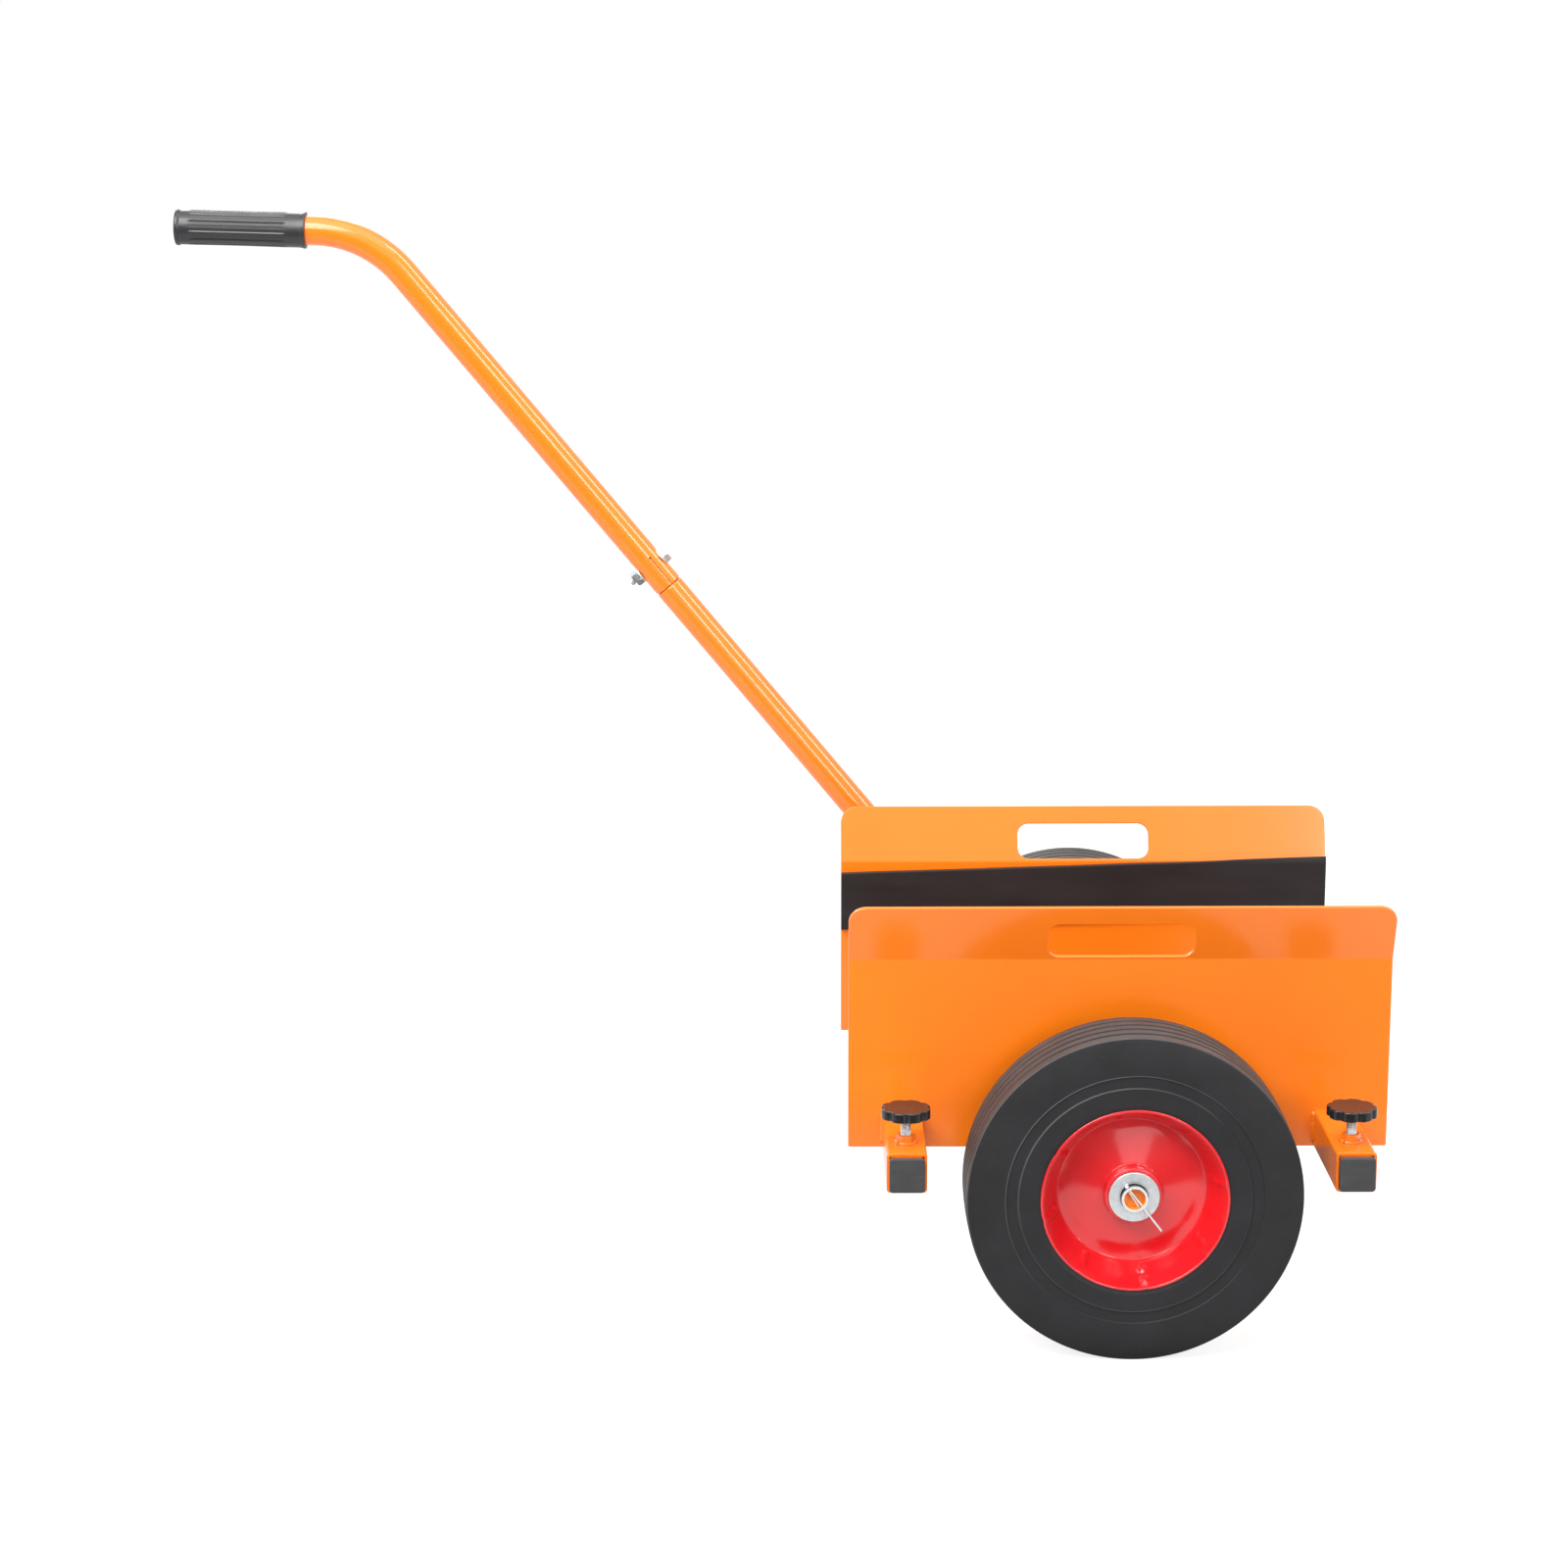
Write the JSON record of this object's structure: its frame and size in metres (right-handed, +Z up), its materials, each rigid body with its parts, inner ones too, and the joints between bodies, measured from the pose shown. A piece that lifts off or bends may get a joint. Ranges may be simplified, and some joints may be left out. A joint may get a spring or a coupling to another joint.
{
  "type": "panel cart",
  "caption": "Wheeled panel cart with a fixed and a sliding clamp jaw, lobed clamp knobs, solid rubber wheels on one axle and a bent tube handle with a grip.",
  "frame": {"origin": "point on the floor under the middle of the axle, midway between the wheels", "axes": "+X away from the handle, +Y along the axle from the moving jaw to the fixed jaw, +Z up"},
  "size_m": [0.9783, 0.6506, 0.8425],
  "materials": {
    "orange_paint": "gloss powder coat",
    "red_paint": "gloss paint",
    "tyre_rubber": "matte solid rubber",
    "pad_rubber": "satin rubber",
    "grip_rubber": "satin moulded rubber",
    "black_plug": "matte moulded plastic",
    "black_knob": "gloss moulded plastic",
    "zinc_steel": "bright zinc plating",
    "bearing_steel": "ground steel"
  },
  "bodies": {
    "frame": {"fixed_plate": "orange_paint", "fixed_pad": "pad_rubber", "arm_left": "orange_paint", "arm_right": "orange_paint", "arm_plugs": "black_plug", "rear_beam": "orange_paint", "rear_beam_plugs": "black_plug", "axle_beam": "orange_paint", "axle": "orange_paint", "handle_lower_tube": "orange_paint", "handle_upper_tube": "orange_paint", "handle_bolt": "zinc_steel", "handle_washers": "zinc_steel", "handle_nut": "zinc_steel", "handle_grip": "grip_rubber", "near_bearing_inner_races": "bearing_steel", "near_outer_washer": "zinc_steel", "near_inner_washer": "zinc_steel", "near_split_pin": "zinc_steel", "far_bearing_inner_races": "bearing_steel", "far_outer_washer": "zinc_steel", "far_inner_washer": "zinc_steel", "far_split_pin": "zinc_steel"},
    "moving_jaw": {"moving_plate": "orange_paint", "moving_pad": "pad_rubber", "sleeve_left": "orange_paint", "sleeve_right": "orange_paint", "clamp_nut_left": "orange_paint", "clamp_nut_right": "orange_paint"},
    "knob_left": {"knob_left": "black_knob", "knob_stud_left": "zinc_steel"},
    "knob_right": {"knob_right": "black_knob", "knob_stud_right": "zinc_steel"},
    "near_wheel": {"near_tyre": "tyre_rubber", "near_rim_outer": "red_paint", "near_rim_inner": "red_paint", "near_hub": "red_paint", "near_bearing_outer_races": "bearing_steel", "near_bearing_balls": "bearing_steel"},
    "far_wheel": {"far_tyre": "tyre_rubber", "far_rim_outer": "red_paint", "far_rim_inner": "red_paint", "far_hub": "red_paint", "far_bearing_outer_races": "bearing_steel", "far_bearing_balls": "bearing_steel"}
  },
  "joints": [
    {"name": "jaw_slide", "type": "slide", "parent": "frame", "child": "moving_jaw", "axis": [0, 1, 0], "range_m": [-0.0025, 0.3]},
    {"name": "knob_left_turn", "type": "hinge", "parent": "moving_jaw", "child": "knob_left", "pos_m": [-0.172, -0.306, 0.196], "axis": [0, 0, 1], "range_deg": [0, 720]},
    {"name": "knob_right_turn", "type": "hinge", "parent": "moving_jaw", "child": "knob_right", "pos_m": [0.16, -0.306, 0.196], "axis": [0, 0, 1], "range_deg": [0, 720]},
    {"name": "near_wheel_spin", "type": "hinge", "parent": "frame", "child": "near_wheel", "pos_m": [0, -0.28, 0.127], "axis": [0, 1, 0], "continuous": true},
    {"name": "far_wheel_spin", "type": "hinge", "parent": "frame", "child": "far_wheel", "pos_m": [0, 0.28, 0.127], "axis": [0, 1, 0], "continuous": true}
  ]
}
